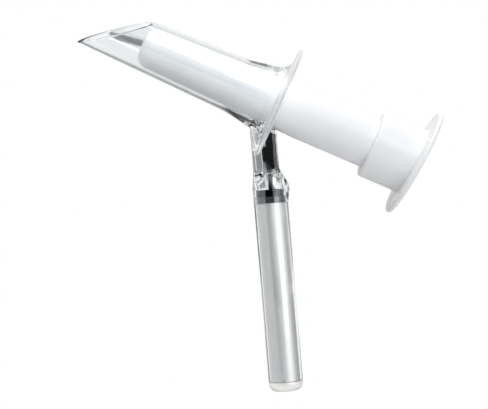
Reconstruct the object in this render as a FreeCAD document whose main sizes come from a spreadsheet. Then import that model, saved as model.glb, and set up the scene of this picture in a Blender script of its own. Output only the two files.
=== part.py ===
import FreeCAD, Part
import Sketcher
import math
import os

# Lighted proctoscope: a clear beaked cannula with a bell flange and a hollow grip,
# a white obturator drawn part of the way out of it, and a lamp unit with two cells
# that slides into the grip from below and shines through the flange's lower edge.
# The grip stands upright along Z with the origin at the middle of its sleeve.
# Millimetres and degrees.
SIZES = {
    # Cannula and flange, along the cannula's own axis
    "cannula_drop": 28.0,
    "cannula_reach": 95.0,
    "cannula_tip_radius": 10.5,
    "cannula_root_radius": 13.5,
    "cannula_wall": 0.8,
    "bore_mouth_chamfer": 0.8,
    "beak_setback": 27.0,
    "beak_round": 0.35,
    "flange_radius": 26.3,
    "flange_thickness": 1.8,
    "flange_rim_round": 0.7,
    "flare_setback": 20.0,
    "flare_root_radius": 16.5,
    "flare_round": 25.0,
    "bell_round": 7.0,
    "flange_setback": 8.0,
    # Neck between flange and grip, across and down the grip's axis
    "neck_drop": 42.0,
    "neck_front": 6.7,
    "neck_back": 4.9,
    "neck_half_width": 6.0,
    "neck_corner": 2.6,
    "neck_wall": 0.95,
    "neck_top_drop": 9.0,
    "saddle_length": 16.0,
    "shoulder_drop": 33.0,
    "shoulder_bulge": 1.0,
    "channel_front": 2.8,
    "channel_half_width": 4.3,
    "channel_cover": 0.8,
    # Socket and sleeve of the grip
    "socket_depth": 6.5,
    "socket_radius": 7.95,
    "dome_radius": 6.0,
    "dome_height": 8.0,
    "dome_round": 4.6,
    "socket_lap": 3.0,
    "sleeve_length": 80.5,
    "sleeve_radius": 7.75,
    "lap_wall": 0.5,
    "lap_clearance": 0.04,
    # Obturator
    "shank_radius": 11.6,
    "obturator_clearance": 0.25,
    "obturator_stop_gap": 0.3,
    "obturator_front": 67.2,
    "obturator_nose_round": 5.0,
    "obturator_nose_dome": 0.7,
    "obturator_wall": 1.5,
    "collar_start": 45.6,
    "collar_radius": 15.6,
    "collar_ring": 1.6,
    "collar_lip_round": 1.2,
    "skirt_wall": 1.5,
    "skirt_clearance": 0.05,
    "plate_distance": 66.2,
    "plate_radius": 25.5,
    "plate_thickness": 2.2,
    "plate_edge_round": 1.0,
    "plate_rake": 5.0,
    "plate_recess": 0.7,
    "plate_lip": 3.0,
    # Lamp unit
    "barrel_radius": 6.6,
    "barrel_wall": 0.45,
    "barrel_clearance": 0.1,
    "ring_height": 6.1,
    "ring_gap": 0.3,
    "ring_spigot": 2.5,
    "ring_bore_radius": 4.9,
    "ring_edge_chamfer": 0.3,
    "fit_clearance": 0.03,
    "head_clearance": 0.3,
    "head_toe_drop": 28.9,
    "head_heel_drop": 35.2,
    "head_edge_round": 0.5,
    "lens_radius": 2.5,
    "lens_thickness": 0.9,
    "lens_drop": 18.8,
    "led_side": 3.0,
    "led_height": 0.9,
    "board_thickness": 0.8,
    "stem_offset": 0.85,
    "stem_radius": 1.15,
    "stem_top_radius": 2.0,
    "stem_bore_radius": 0.85,
    "stem_root": 2.0,
    "stem_foot": 2.0,
    "lead_radius": 0.35,
    "lead_gap": 0.15,
    "bush_height": 7.4,
    "bush_bore_radius": 2.6,
    "contact_board_radius": 4.6,
    "contact_board_thickness": 1.0,
    "contact_rivet_radius": 1.6,
    "contact_shank_radius": 0.8,
    "contact_rivet_head": 1.0,
    "contact_rivet_round": 0.4,
    "resistor_radius": 0.85,
    "resistor_length": 3.2,
    "cell_radius": 6.0,
    "cell_button_radius": 2.2,
    "cell_button_height": 1.0,
    "cell_edge_round": 0.5,
    # Tail cap
    "cap_height": 4.3,
    "cap_edge_round": 3.6,
    "cap_gap": 0.2,
    "cap_plug_length": 9.0,
    "cap_plug_wall": 1.1,
    "cap_running_clearance": 0.05,
    "seal_groove_depth": 0.6,
    "seal_groove_width": 0.8,
    "seal_drop": 2.5,
    "seal_clearance": 0.02,
    "contact_disc_thickness": 0.6,
    "spring_radius": 3.6,
    "spring_wire_radius": 0.35,
    "spring_turns": 5.0,
    "spring_room": 3.0,
    # How far a cut starts outside what it cuts
    "overcut": 1.0,
}

SHEET = "Sizes"


class Size:
    """A length or angle that carries its value and its formula in the sheet."""

    def __init__(self, value, formula):
        self.value = value
        self.formula = formula

    def __add__(self, other):
        right = as_size(other)
        return Size(self.value + right.value, f"({self.formula} + {right.formula})")

    def __radd__(self, other):
        return as_size(other) + self

    def __sub__(self, other):
        right = as_size(other)
        return Size(self.value - right.value, f"({self.formula} - {right.formula})")

    def __rsub__(self, other):
        return as_size(other) - self

    def __mul__(self, other):
        right = as_size(other)
        return Size(self.value * right.value, f"({self.formula} * {right.formula})")

    def __rmul__(self, other):
        return as_size(other) * self

    def __truediv__(self, other):
        right = as_size(other)
        return Size(self.value / right.value, f"({self.formula} / {right.formula})")

    def __neg__(self):
        return Size(-self.value, f"(0 - {self.formula})")


def as_size(amount):
    """Turns a plain number into a Size."""
    if isinstance(amount, Size):
        return amount
    return Size(float(amount), repr(float(amount)))


def sine(angle):
    return Size(math.sin(math.radians(angle.value)), f"sin({angle.formula})")


def cosine(angle):
    return Size(math.cos(math.radians(angle.value)), f"cos({angle.formula})")


class Dimensions:
    """Every driving size by name, as it stands in the sheet."""

    def __init__(self, sizes, sheet_name):
        for name, amount in sizes.items():
            setattr(self, name, Size(float(amount), f"{sheet_name}.{name}"))


doc = FreeCAD.newDocument("lighted_proctoscope")
sub_parts = []


def fill_sheet():
    """Writes each driving size into a cell with its alias."""
    sheet = doc.addObject("Spreadsheet::Sheet", SHEET)
    for row, (name, amount) in enumerate(SIZES.items(), start=1):
        sheet.set(f"A{row}", name)
        sheet.set(f"B{row}", str(amount))
        sheet.setAlias(f"B{row}", name)
    doc.recompute()


fill_sheet()
d = Dimensions(SIZES, SHEET)

# Levels along the grip's axis, measured up from the origin
SLEEVE_TOP = d.sleeve_length / 2
SLEEVE_FOOT = -SLEEVE_TOP
SOCKET_CEILING = SLEEVE_TOP + d.socket_depth
AXIS_HEIGHT = SOCKET_CEILING + d.neck_drop
RING_TOP = SOCKET_CEILING - d.ring_gap
BARREL_TOP = RING_TOP - d.ring_height
BARREL_BORE = d.barrel_radius - d.barrel_wall
BUSH_FOOT = BARREL_TOP - d.bush_height
UPPER_CELL_TOP = BUSH_FOOT - d.contact_rivet_head
CAP_SHOULDER = SLEEVE_FOOT - d.cap_gap
LOWER_CELL_FOOT = CAP_SHOULDER + d.cap_plug_length + d.spring_room
CELL_HEIGHT = (UPPER_CELL_TOP - LOWER_CELL_FOOT) / 2 - d.cell_button_height
LOWER_CELL_TOP = LOWER_CELL_FOOT + CELL_HEIGHT + d.cell_button_height
SLEEVE_BORE = d.barrel_radius + d.barrel_clearance
CAP_PLUG = BARREL_BORE - d.cap_running_clearance
CAP_CUP = CAP_PLUG - d.cap_plug_wall

# Stations along the cannula's axis, measured towards the user from the flange's middle
FLANGE_BACK = d.flange_thickness / 2
FLANGE_FRONT = -FLANGE_BACK
BORE_TAPER = (d.cannula_root_radius - d.cannula_tip_radius) / (d.cannula_reach + FLANGE_FRONT)
BORE_TIP = d.cannula_tip_radius - d.cannula_wall
GUIDE_BORE = d.shank_radius + d.obturator_clearance
GUIDE_START = (GUIDE_BORE - BORE_TIP) / BORE_TAPER - d.cannula_reach


def on_axis(along, up):
    """Turns a point beside the cannula's axis into the row's X and Z."""
    run = d.flange_setback + along
    x = run * cosine(d.cannula_drop) + up * sine(d.cannula_drop)
    z = AXIS_HEIGHT - run * sine(d.cannula_drop) + up * cosine(d.cannula_drop)
    return x, z


def bind(thing, path, amount):
    """Sets a property from a size by its formula."""
    thing.setExpression(path, as_size(amount).formula)


def new_body(node):
    body = doc.addObject("PartDesign::Body", node)
    body.Label = node
    sub_parts.append(body)
    return body


def new_solid(kind, node, **sizes):
    """Makes a primitive of the Part workbench as a sub-part."""
    solid = doc.addObject(kind, node)
    solid.Label = node
    for name, amount in sizes.items():
        bind(solid, name, amount)
    sub_parts.append(solid)
    return solid


def place(thing, x=0, y=0, z=0, drop=None):
    """Puts a sub-part at a point, tipped about Y by the drop angle if one is given."""
    angle = as_size(0 if drop is None else drop)
    spot = FreeCAD.Vector(as_size(x).value, as_size(y).value, as_size(z).value)
    thing.Placement = FreeCAD.Placement(spot, FreeCAD.Rotation(FreeCAD.Vector(0, 1, 0), angle.value))
    bind(thing, "Placement.Base.x", x)
    bind(thing, "Placement.Base.y", y)
    bind(thing, "Placement.Base.z", z)
    if drop is not None:
        bind(thing, "Placement.Rotation.Angle", angle)


def place_on_cannula(thing, along=0, up=0):
    """Puts a sub-part at a point of the cannula's axis, its X axis along it."""
    x, z = on_axis(as_size(along), as_size(up))
    place(thing, x=x, z=z, drop=d.cannula_drop)


def origin_plane(body, role):
    for feature in body.Origin.OriginFeatures:
        if feature.Role == role:
            return feature
    raise ValueError(f"{body.Label} has no {role}")


def pin_point(sketch, geometry, end, x, y):
    """Holds a point of a sketch at x and y, by formula or on an axis."""
    for axis, kind, amount in ((-2, "DistanceX", x), (-1, "DistanceY", y)):
        size = as_size(amount)
        if isinstance(amount, Size):
            number = sketch.addConstraint(Sketcher.Constraint(kind, -1, 1, geometry, end, size.value))
            sketch.setExpression(f"Constraints[{number}]", size.formula)
        elif size.value == 0:
            sketch.addConstraint(Sketcher.Constraint("PointOnObject", geometry, end, axis))
        else:
            sketch.addConstraint(Sketcher.Constraint(kind, -1, 1, geometry, end, size.value))


def round_off(before, corner, after, radius):
    """Gives the two tangent points and the centre of an arc that rounds a corner."""
    back = (before - corner).normalize()
    ahead = (after - corner).normalize()
    half = back.getAngle(ahead) / 2
    reach = radius / math.tan(half)
    middle = (back + ahead).normalize()
    return corner + back * reach, corner + ahead * reach, corner + middle * (radius / math.sin(half))


def rounded_corner(sketch, line_in, line_out, corner, arc, radius, centre, starts):
    """Adds the arc of a rounded corner and ties it to its two lines."""
    first = math.atan2(starts[0].y - centre.y, starts[0].x - centre.x)
    last = math.atan2(starts[1].y - centre.y, starts[1].x - centre.x)
    forward = (last - first) % (2 * math.pi) < math.pi
    low, high = (first, last) if forward else (last, first)
    circle = Part.Circle(centre, FreeCAD.Vector(0, 0, 1), radius.value)
    geometry = sketch.addGeometry(Part.ArcOfCircle(circle, low, high), False)
    end_in, end_out = (1, 2) if forward else (2, 1)
    sketch.addConstraint(Sketcher.Constraint("Tangent", line_in, 2, geometry, end_in))
    sketch.addConstraint(Sketcher.Constraint("Tangent", line_out, 1, geometry, end_out))
    number = sketch.addConstraint(Sketcher.Constraint("Radius", geometry, radius.value))
    sketch.setExpression(f"Constraints[{number}]", radius.formula)
    point = sketch.addGeometry(Part.Point(arc), True)
    sketch.addConstraint(Sketcher.Constraint("PointOnObject", point, 1, line_in))
    sketch.addConstraint(Sketcher.Constraint("PointOnObject", point, 1, line_out))
    pin_point(sketch, point, 1, corner[0], corner[1])


def new_sketch(body, name, plane, level=None, tilt=None):
    """Attaches a sketch to an origin plane, lifted to a level or tilted about a point."""
    sketch = body.newObject("Sketcher::SketchObject", f"{body.Name}_{name}")
    sketch.AttachmentSupport = [(origin_plane(body, plane), "")]
    sketch.MapMode = "FlatFace"
    if level is not None:
        sketch.AttachmentOffset = FreeCAD.Placement(FreeCAD.Vector(0, 0, level.value), FreeCAD.Rotation())
        bind(sketch, "AttachmentOffset.Base.z", level)
    if tilt is not None:
        x, y, angle = tilt
        turn = FreeCAD.Rotation(FreeCAD.Vector(0, 0, -1), angle.value)
        sketch.AttachmentOffset = FreeCAD.Placement(FreeCAD.Vector(x.value, y.value, 0), turn)
        bind(sketch, "AttachmentOffset.Base.x", x)
        bind(sketch, "AttachmentOffset.Base.y", y)
        bind(sketch, "AttachmentOffset.Rotation.Angle", angle)
    return sketch


def draw(body, name, corners, plane="XZ_Plane", level=None, tilt=None):
    """Draws a closed outline from corners, each x, y and, where it is rounded, a radius."""
    sketch = new_sketch(body, name, plane, level, tilt)
    count = len(corners)
    spots = [FreeCAD.Vector(as_size(c[0]).value, as_size(c[1]).value, 0) for c in corners]
    entries, exits, centres = [], [], []
    for k, corner in enumerate(corners):
        if len(corner) == 3:
            radius = as_size(corner[2]).value
            arc = round_off(spots[k - 1], spots[k], spots[(k + 1) % count], radius)
        else:
            arc = (spots[k], spots[k], None)
        entries.append(arc[0])
        exits.append(arc[1])
        centres.append(arc[2])
    for k in range(count):
        sketch.addGeometry(Part.LineSegment(exits[k], entries[(k + 1) % count]), False)
    for k, corner in enumerate(corners):
        line_in = (k - 1) % count
        if centres[k] is None:
            sketch.addConstraint(Sketcher.Constraint("Coincident", line_in, 2, k, 1))
            pin_point(sketch, k, 1, corner[0], corner[1])
        else:
            starts = (entries[k], exits[k])
            rounded_corner(sketch, line_in, k, corner, spots[k], as_size(corner[2]), centres[k], starts)
    return sketch


def draw_circle(body, name, x, radius, level):
    """Draws a circle on the body's XY plane, lifted to a level."""
    sketch = new_sketch(body, name, "XY_Plane", level)
    centre = FreeCAD.Vector(as_size(x).value, 0, 0)
    sketch.addGeometry(Part.Circle(centre, FreeCAD.Vector(0, 0, 1), radius.value), False)
    pin_point(sketch, 0, 3, x, 0)
    number = sketch.addConstraint(Sketcher.Constraint("Radius", 0, radius.value))
    sketch.setExpression(f"Constraints[{number}]", radius.formula)
    return sketch


def feature(body, kind, sketch):
    """Adds a feature that uses a sketch as its profile."""
    made = body.newObject(kind, f"{sketch.Name}_feature")
    made.Profile = sketch
    return made


def pad(body, sketch, length):
    bind(feature(body, "PartDesign::Pad", sketch), "Length", length)


def pocket_down(body, sketch, depth):
    """Cuts a sketch's outline downwards from its plane."""
    cut_checked(body, lambda: bind(feature(body, "PartDesign::Pocket", sketch), "Length", depth))


def pocket_through(body, sketch, half_width):
    """Cuts a sketch's outline by the same width to both sides of its plane."""

    def make_cut():
        cut = feature(body, "PartDesign::Pocket", sketch)
        cut.SideType = "Symmetric"
        bind(cut, "Length", 2 * half_width)

    cut_checked(body, make_cut)


def turn(body, sketch, axis="V_Axis"):
    """Turns a sketch's outline once round one of its axes and adds it."""
    turned = feature(body, "PartDesign::Revolution", sketch)
    turned.ReferenceAxis = (sketch, [axis])
    turned.Angle = 360


def turn_out(body, sketch, axis="V_Axis"):
    """Turns a sketch's outline once round one of its axes and cuts it away."""

    def make_cut():
        groove = feature(body, "PartDesign::Groove", sketch)
        groove.ReferenceAxis = (sketch, [axis])
        groove.Angle = 360

    cut_checked(body, make_cut)


def cut_checked(body, make_cut):
    """Makes a cut and makes sure that it took material away."""
    doc.recompute()
    before = body.Shape.Volume
    make_cut()
    doc.recompute()
    if body.Shape.isNull() or body.Shape.Volume > before - 0.001:
        raise ValueError(f"a cut in {body.Label} removed nothing")


def turned_body(node, corners, axis="V_Axis"):
    """Makes a sub-part that is one turned outline."""
    body = new_body(node)
    turn(body, draw(body, "profile", corners), axis)
    return body


def box_corners(left, right, half, corner):
    """The corners of a rounded box seen from above."""
    return [(-left, -half, corner), (right, -half, corner), (right, half, corner), (-left, half, corner)]


# Clear scope moulding
FLARE_START = d.cannula_tip_radius + BORE_TAPER * (d.cannula_reach - d.flare_setback)
SADDLE = GUIDE_BORE + d.bore_mouth_chamfer
CHANNEL_CEILING = SADDLE + d.channel_cover
CHANNEL_BACK = d.neck_back - d.neck_wall
# The share of a square's half side that rounds its corners almost to a circle
NEAR_ROUND = 0.96


def lamp_space(inset, toe, heel):
    """The side outline of the space behind the flange for the lamp head, drawn in by an inset."""
    station = FLANGE_BACK + inset
    ceiling = CHANNEL_CEILING + inset
    back = CHANNEL_BACK - inset
    front = inset - d.channel_front
    run = (back + ceiling * sine(d.cannula_drop)) / cosine(d.cannula_drop)
    reach = ((d.flange_setback + station) * cosine(d.cannula_drop) - front) / sine(d.cannula_drop)
    return [
        on_axis(station, -ceiling),
        on_axis(run - d.flange_setback, -ceiling),
        (back, heel),
        (front, toe),
        on_axis(station, -reach),
    ]


def shoulder_section(share):
    """The neck's section part of the way down its shoulder, from box to near circle."""
    swell = Size(math.sin(share * math.pi / 2), f"sin({90 * share})")
    front = d.neck_front + (d.socket_radius - d.neck_front) * share
    back = d.neck_back + (d.socket_radius + d.shoulder_bulge - d.neck_back) * swell
    half = d.neck_half_width + (d.socket_radius - d.neck_half_width) * swell
    corner = d.neck_corner + (NEAR_ROUND * d.socket_radius - d.neck_corner) * share
    return box_corners(front, back, half, corner)


def add_neck(body):
    """Adds the straight neck and lofts its shoulder down to the round socket."""
    shoulder_level = AXIS_HEIGHT - d.shoulder_drop
    top = shoulder_section(0.0)
    pad(body, draw(body, "neck", top, "XY_Plane", shoulder_level), d.shoulder_drop - d.neck_top_drop)
    steps = 3
    fall = (d.neck_drop - d.shoulder_drop) / steps
    sections = []
    for step in range(steps + 1):
        corners = shoulder_section(step / steps)
        sections.append(draw(body, f"shoulder_{step}", corners, "XY_Plane", shoulder_level - step * fall))
    mouth = box_corners(d.socket_radius, d.socket_radius, d.socket_radius, NEAR_ROUND * d.socket_radius)
    sections.append(draw(body, "socket_mouth", mouth, "XY_Plane", SLEEVE_TOP))
    loft = feature(body, "PartDesign::AdditiveLoft", sections[0])
    loft.Sections = sections[1:]


def on_beak(edge):
    """Tells whether an edge lies in the beak's oblique plane, where the cannula is cut off."""
    slope = 2 * d.cannula_tip_radius.value / d.beak_setback.value
    start_x, start_z = [size.value for size in on_axis(-d.cannula_reach, -d.cannula_tip_radius)]
    normal = FreeCAD.Vector(-slope, 0, 1)
    normal = FreeCAD.Rotation(FreeCAD.Vector(0, 1, 0), d.cannula_drop.value).multVec(normal)
    start = FreeCAD.Vector(start_x, 0, start_z)
    steps = edge.discretize(5)
    return all(abs((spot - start).dot(normal)) < 0.01 for spot in steps)


def round_edges(body, chosen, radius):
    """Rounds the body's edges that a test chooses."""
    doc.recompute()
    tip = body.Tip
    names = [f"Edge{k}" for k, edge in enumerate(tip.Shape.Edges, start=1) if chosen(edge)]
    fillet = body.newObject("PartDesign::Fillet", f"{body.Name}_rounding")
    fillet.Base = (tip, names)
    bind(fillet, "Radius", radius)
    doc.recompute()
    print(f"{body.Label}: rounded {len(names)} edges")


def scope_body():
    """One moulding: beaked cannula, bell flange, hollow neck and the grip's socket."""
    body = new_body("scope_body")
    flange_spot = (*on_axis(as_size(0), as_size(0)), d.cannula_drop)
    outside = [
        (-d.cannula_reach, 0),
        (-d.cannula_reach, d.cannula_tip_radius),
        (-d.flare_setback, FLARE_START, d.flare_round),
        (FLANGE_FRONT, d.flare_root_radius, d.bell_round),
        (FLANGE_FRONT, d.flange_radius, d.flange_rim_round),
        (FLANGE_BACK, d.flange_radius, d.flange_rim_round),
        (FLANGE_BACK, 0),
    ]
    turn(body, draw(body, "outside", outside, tilt=flange_spot), "H_Axis")
    add_neck(body)
    past_tip = -d.cannula_reach - d.overcut
    past_saddle = FLANGE_BACK + d.saddle_length
    bore = [
        (past_tip, 0),
        (past_tip, BORE_TIP - BORE_TAPER * d.overcut),
        (GUIDE_START, GUIDE_BORE),
        (FLANGE_BACK - d.bore_mouth_chamfer, GUIDE_BORE),
        (FLANGE_BACK, SADDLE),
        (past_saddle, SADDLE),
        (past_saddle, 0),
    ]
    turn_out(body, draw(body, "bore", bore, tilt=flange_spot), "H_Axis")
    slope = 2 * d.cannula_tip_radius / d.beak_setback
    clear = d.cannula_root_radius + d.overcut
    beak_end = (clear + d.cannula_tip_radius) / slope - d.cannula_reach
    beak = [
        (past_tip, -d.cannula_tip_radius - slope * d.overcut),
        (beak_end, clear),
        (past_tip, clear),
    ]
    pocket_through(body, draw(body, "beak", beak, tilt=flange_spot), d.cannula_root_radius)
    below = SOCKET_CEILING - d.overcut
    pocket_through(body, draw(body, "channel", lamp_space(as_size(0), below, below)), d.channel_half_width)
    round_edges(body, on_beak, d.beak_round)
    lap_radius = SLEEVE_BORE + d.lap_wall + d.lap_clearance
    lap_level = SLEEVE_TOP + d.socket_lap
    dome_top = SOCKET_CEILING + d.dome_height
    socket = [
        (0, SLEEVE_TOP),
        (lap_radius, SLEEVE_TOP),
        (lap_radius, lap_level),
        (SLEEVE_BORE, lap_level),
        (SLEEVE_BORE, SOCKET_CEILING),
        (d.dome_radius, SOCKET_CEILING),
        (d.dome_radius, dome_top, d.dome_round),
        (0, dome_top),
    ]
    turn_out(body, draw(body, "socket", socket))
    return body


def handle_sleeve():
    """The clear tube of the grip, its thinned top end lapped into the socket."""
    lap_radius = SLEEVE_BORE + d.lap_wall
    lap_top = SLEEVE_TOP + d.socket_lap - d.lap_clearance
    corners = [
        (SLEEVE_BORE, SLEEVE_FOOT),
        (d.sleeve_radius, SLEEVE_FOOT),
        (d.sleeve_radius, SLEEVE_TOP),
        (lap_radius, SLEEVE_TOP),
        (lap_radius, lap_top),
        (SLEEVE_BORE, lap_top),
    ]
    turned_body("handle_sleeve", corners)


# Obturator, drawn in stations along the cannula's axis. Its collar stops on the neck's back.
NECK_STOP = (d.neck_back + d.collar_radius * sine(d.cannula_drop)) / cosine(d.cannula_drop)
WITHDRAWN = d.collar_start - (NECK_STOP - d.flange_setback) - d.obturator_stop_gap
SKIRT_START = d.collar_start + d.collar_ring


def taper_radius(station):
    """The tapered length's radius: the bore it fills when pushed home, less the clearance."""
    home = BORE_TIP - d.obturator_clearance
    return home + BORE_TAPER * (station - WITHDRAWN + d.cannula_reach)


def obturator_stem():
    """A hollow tube, tapered to a rounded nose."""
    front = -d.obturator_front
    shoulder = front + d.obturator_nose_dome
    end = d.plate_distance - d.collar_radius * sine(d.plate_rake)
    wall = d.obturator_wall
    inner_round = d.obturator_nose_round - wall
    shank_start = GUIDE_START + WITHDRAWN
    corners = [
        (front, 0),
        (shoulder, taper_radius(shoulder), d.obturator_nose_round),
        (shank_start, d.shank_radius),
        (end, d.shank_radius),
        (end, d.shank_radius - wall),
        (shank_start, d.shank_radius - wall),
        (shoulder + wall, taper_radius(shoulder + wall) - wall, inner_round),
        (front + wall, 0),
    ]
    place_on_cannula(turned_body("obturator_stem", corners, "H_Axis"))


def thumb_cap():
    """A drum that grips the tube at its collar and ends in a raked, dished thumb plate."""
    body = new_body("thumb_cap")
    seat = d.shank_radius + d.skirt_clearance
    inside = d.collar_radius - d.skirt_wall
    end = d.plate_distance + d.plate_thickness
    skirt = [
        (d.collar_start, seat),
        (d.collar_start, d.collar_radius, d.collar_lip_round),
        (end, d.collar_radius),
        (end, inside),
        (SKIRT_START, inside),
        (SKIRT_START, seat),
    ]
    turn(body, draw(body, "skirt", skirt), "H_Axis")
    spot = (d.plate_distance, as_size(0), d.plate_rake)
    middle = d.plate_thickness / 2
    margin = 2 * d.collar_radius
    beyond = [(middle, -margin), (margin, -margin), (margin, margin), (middle, margin)]
    pocket_through(body, draw(body, "skirt_end", beyond, tilt=spot), margin)
    rim = d.plate_edge_round
    dish = d.plate_thickness - d.plate_recess
    plate = [
        (0, 0),
        (0, d.plate_radius, rim),
        (d.plate_thickness, d.plate_radius, rim),
        (d.plate_thickness, d.plate_radius - d.plate_lip),
        (dish, d.plate_radius - d.plate_lip - d.plate_recess),
        (dish, 0),
    ]
    turn(body, draw(body, "plate", plate, tilt=spot), "H_Axis")
    place_on_cannula(body)


# Lamp unit
RING_FOOT = BARREL_TOP - d.ring_spigot
LENS_FACE = FLANGE_BACK + d.head_clearance
LED_FACE = LENS_FACE + d.lens_thickness + d.fit_clearance
BOARD_FACE = LED_FACE + d.led_height
POCKET_END = BOARD_FACE + d.board_thickness + d.fit_clearance
LEAD_SHIFT = d.lead_radius + d.lead_gap / 2


def lamp_barrel():
    corners = [
        (BARREL_BORE, SLEEVE_FOOT),
        (d.barrel_radius, SLEEVE_FOOT),
        (d.barrel_radius, BARREL_TOP),
        (BARREL_BORE, BARREL_TOP),
    ]
    turned_body("lamp_barrel", corners)


def bezel_ring():
    """The polished dark ring at the barrel's mouth, its spigot pressed into the barrel."""
    spigot = BARREL_BORE - d.fit_clearance
    corners = [
        (d.ring_bore_radius, RING_FOOT),
        (spigot, RING_FOOT),
        (spigot, BARREL_TOP),
        (d.barrel_radius, BARREL_TOP),
        (d.barrel_radius, RING_TOP - d.ring_edge_chamfer),
        (d.barrel_radius - d.ring_edge_chamfer, RING_TOP),
        (d.ring_bore_radius, RING_TOP),
    ]
    turned_body("bezel_ring", corners)


def head_foot():
    """The height of the head's sloping foot where the stem enters it."""
    front = d.head_clearance - d.channel_front
    back = CHANNEL_BACK - d.head_clearance
    share = (d.stem_offset - front) / (back - front)
    return AXIS_HEIGHT - d.head_toe_drop - (d.head_heel_drop - d.head_toe_drop) * share


def lead_top():
    """The height at which the leads meet the back of the light source's board."""
    nearest = d.stem_offset - LEAD_SHIFT - d.lead_radius
    run = d.flange_setback + POCKET_END - nearest * cosine(d.cannula_drop)
    return AXIS_HEIGHT - run / sine(d.cannula_drop) - d.head_clearance


def lamp_stem():
    """The hollow stalk that carries the lamp head, with the foot that fills the bezel ring."""
    body = new_body("lamp_stem")
    foot_radius = d.ring_bore_radius - d.fit_clearance
    foot_level = RING_TOP - d.stem_foot
    pad(body, draw_circle(body, "foot", 0, foot_radius, foot_level), d.stem_foot)
    top = head_foot() + d.stem_root
    stalk_foot = draw_circle(body, "stalk_foot", d.stem_offset, d.stem_radius, foot_level)
    stalk = feature(body, "PartDesign::AdditiveLoft", stalk_foot)
    stalk.Sections = [draw_circle(body, "stalk_top", d.stem_offset, d.stem_top_radius, top)]
    pocket_down(body, draw_circle(body, "bore", d.stem_offset, d.stem_bore_radius, top), top - foot_level)


def lamp_head():
    """The black housing that seats behind the flange and aims the light into it."""
    body = new_body("lamp_head")
    toe = AXIS_HEIGHT - d.head_toe_drop
    heel = AXIS_HEIGHT - d.head_heel_drop
    outline = lamp_space(d.head_clearance, toe, heel)
    corners = [(x, z, d.head_edge_round) for x, z in outline]
    block = feature(body, "PartDesign::Pad", draw(body, "outline", corners))
    block.SideType = "Symmetric"
    bind(block, "Length", 2 * (d.channel_half_width - d.head_clearance))
    centre = (*on_axis(as_size(0), -d.lens_drop), d.cannula_drop)
    pocket_radius = d.lens_radius + d.fit_clearance
    pocket = [
        (LENS_FACE - d.overcut, 0),
        (LENS_FACE - d.overcut, pocket_radius),
        (POCKET_END, pocket_radius),
        (POCKET_END, 0),
    ]
    turn_out(body, draw(body, "lens_pocket", pocket, tilt=centre), "H_Axis")
    root = d.stem_top_radius + d.fit_clearance
    seat_top = head_foot() + d.stem_root + d.fit_clearance
    pocket_down(body, draw_circle(body, "stem_seat", d.stem_offset, root, seat_top), seat_top - heel)
    bore_top = lead_top() + d.head_clearance
    lead_hole = draw_circle(body, "lead_hole", d.stem_offset, d.stem_bore_radius, bore_top)
    pocket_down(body, lead_hole, bore_top - heel)


def light_source():
    """The lens, the light-emitting package and its board, stacked behind the flange."""
    lens = turned_body("lamp_lens", [
        (LENS_FACE, 0),
        (LENS_FACE, d.lens_radius),
        (LENS_FACE + d.lens_thickness, d.lens_radius),
        (LENS_FACE + d.lens_thickness, 0),
    ], "H_Axis")
    place_on_cannula(lens, up=-d.lens_drop)
    package = new_solid("Part::Box", "led_package", Length=d.led_height, Width=d.led_side, Height=d.led_side)
    x, z = on_axis(LED_FACE, -d.lens_drop - d.led_side / 2)
    place(package, x=x, y=-d.led_side / 2, z=z, drop=d.cannula_drop)
    board = turned_body("led_board", [
        (BOARD_FACE, 0),
        (BOARD_FACE, d.lens_radius),
        (BOARD_FACE + d.board_thickness, d.lens_radius),
        (BOARD_FACE + d.board_thickness, 0),
    ], "H_Axis")
    place_on_cannula(board, up=-d.lens_drop)


def leads():
    """Two insulated leads from the contact board up the stalk to the light source."""
    foot = BUSH_FOOT + d.contact_board_thickness
    for node, side in (("lead_positive", 1), ("lead_negative", -1)):
        lead = new_solid("Part::Cylinder", node, Radius=d.lead_radius, Height=lead_top() - foot)
        place(lead, x=d.stem_offset + side * LEAD_SHIFT, z=foot)


def insulating_bush():
    corners = [
        (d.contact_board_radius + d.fit_clearance, BUSH_FOOT),
        (BARREL_BORE - d.fit_clearance, BUSH_FOOT),
        (BARREL_BORE - d.fit_clearance, RING_FOOT),
        (d.bush_bore_radius, RING_FOOT),
        (d.bush_bore_radius, BUSH_FOOT + d.contact_board_thickness),
        (d.contact_board_radius + d.fit_clearance, BUSH_FOOT + d.contact_board_thickness),
    ]
    turned_body("insulating_bush", corners)


def contact_board():
    hole = d.contact_shank_radius + d.fit_clearance
    corners = [
        (hole, 0),
        (d.contact_board_radius, 0),
        (d.contact_board_radius, d.contact_board_thickness),
        (hole, d.contact_board_thickness),
    ]
    place(turned_body("contact_board", corners), z=BUSH_FOOT)


def positive_contact():
    """The rivet through the contact board that the upper cell presses on."""
    corners = [
        (0, -d.contact_rivet_head),
        (d.contact_rivet_radius, -d.contact_rivet_head, d.contact_rivet_round),
        (d.contact_rivet_radius, 0),
        (d.contact_shank_radius, 0),
        (d.contact_shank_radius, d.contact_board_thickness),
        (0, d.contact_board_thickness),
    ]
    place(turned_body("positive_contact", corners), z=BUSH_FOOT)


def resistor():
    solid = new_solid("Part::Cylinder", "resistor", Radius=d.resistor_radius, Height=d.resistor_length)
    place(solid, x=-d.resistor_radius - d.lead_gap, z=BUSH_FOOT + d.contact_board_thickness)


def cells():
    """Two slim cells in a stack, buttons up."""
    for node, foot in (("cell_upper", LOWER_CELL_TOP), ("cell_lower", LOWER_CELL_FOOT)):
        corners = [
            (0, 0),
            (d.cell_radius, 0, d.cell_edge_round),
            (d.cell_radius, CELL_HEIGHT, d.cell_edge_round),
            (d.cell_button_radius, CELL_HEIGHT),
            (d.cell_button_radius, CELL_HEIGHT + d.cell_button_height),
            (0, CELL_HEIGHT + d.cell_button_height),
        ]
        place(turned_body(node, corners), z=foot)


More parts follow.
